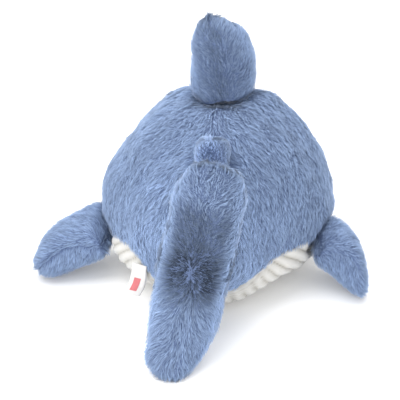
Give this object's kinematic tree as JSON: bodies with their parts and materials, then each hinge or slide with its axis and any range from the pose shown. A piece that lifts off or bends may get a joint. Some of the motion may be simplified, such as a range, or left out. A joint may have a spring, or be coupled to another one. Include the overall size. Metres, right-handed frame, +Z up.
{
  "type": "plush shark",
  "caption": "Stuffed plush shark lying on its belly, with long blue fur, a ribbed cream underside, soft bending fins and tail, and a folded label.",
  "frame": {"origin": "middle of the flat patch under the belly that the toy rests on, below the body's widest part", "axes": "+Z up, -Y towards the snout, +Y towards the tail, +X the shark's left side"},
  "size_m": [0.452, 0.5948, 0.346],
  "materials": {
    "blue_fur": "long soft pile",
    "ribbed_cream": "short ribbed pile",
    "fibre_filling": "loose fibre",
    "black_eye": "polished",
    "white_washer": "as moulded",
    "dark_thread": "twisted thread",
    "satin_label": "satin weave",
    "label_band": "woven satin"
  },
  "bodies": {
    "body": {"back_panel_left": "blue_fur", "back_panel_right": "blue_fur", "belly_panel": "ribbed_cream", "body_filling": "fibre_filling", "eye_left": "black_eye", "eye_right": "black_eye", "eye_washer_left": "white_washer", "eye_washer_right": "white_washer", "mouth_stitch": "dark_thread"},
    "dorsal_fin": {"dorsal_panel_left": "blue_fur", "dorsal_panel_right": "blue_fur", "dorsal_filling": "fibre_filling"},
    "second_dorsal_fin": {"second_dorsal_panel_left": "blue_fur", "second_dorsal_panel_right": "blue_fur", "second_dorsal_filling": "fibre_filling"},
    "tail_fin": {"tail_panel_left": "blue_fur", "tail_panel_right": "blue_fur", "tail_filling": "fibre_filling"},
    "pectoral_fin_left": {"pectoral_left_upper_panel": "blue_fur", "pectoral_left_lower_panel": "blue_fur", "pectoral_left_filling": "fibre_filling"},
    "pectoral_fin_right": {"pectoral_right_upper_panel": "blue_fur", "pectoral_right_lower_panel": "blue_fur", "pectoral_right_filling": "fibre_filling"},
    "label_loop": {"label": "satin_label", "label_print": "label_band"}
  },
  "joints": [
    {"name": "tail_swing", "type": "hinge", "parent": "body", "child": "tail_fin", "pos_m": [0.001, 0.228, 0.108], "axis": [-0.1901, -0.0872, 0.9779], "range_deg": [-25, 25], "stiffness_Nm_per_rad": 0.5},
    {"name": "dorsal_flop", "type": "hinge", "parent": "body", "child": "dorsal_fin", "pos_m": [-0.007, -0.034, 0.262], "axis": [0, 1, 0], "range_deg": [-20, 20], "stiffness_Nm_per_rad": 0.5},
    {"name": "second_dorsal_flop", "type": "hinge", "parent": "body", "child": "second_dorsal_fin", "pos_m": [-0.009, 0.125, 0.2], "axis": [0, 0.866, -0.5], "range_deg": [-22, 22], "stiffness_Nm_per_rad": 0.1},
    {"name": "pectoral_left_lift", "type": "hinge", "parent": "body", "child": "pectoral_fin_left", "pos_m": [0.172, 0.055, 0.052], "axis": [0, -1, 0], "range_deg": [0, 35], "stiffness_Nm_per_rad": 0.4},
    {"name": "pectoral_right_lift", "type": "hinge", "parent": "body", "child": "pectoral_fin_right", "pos_m": [-0.172, 0.055, 0.052], "axis": [0, 1, 0], "range_deg": [0, 35], "stiffness_Nm_per_rad": 0.4},
    {"name": "label_flip", "type": "hinge", "parent": "body", "child": "label_loop", "pos_m": [0.082, 0.172, 0.06], "axis": [0.9063, -0.4226, 0], "range_deg": [-8, 50], "stiffness_Nm_per_rad": 0.003}
  ]
}
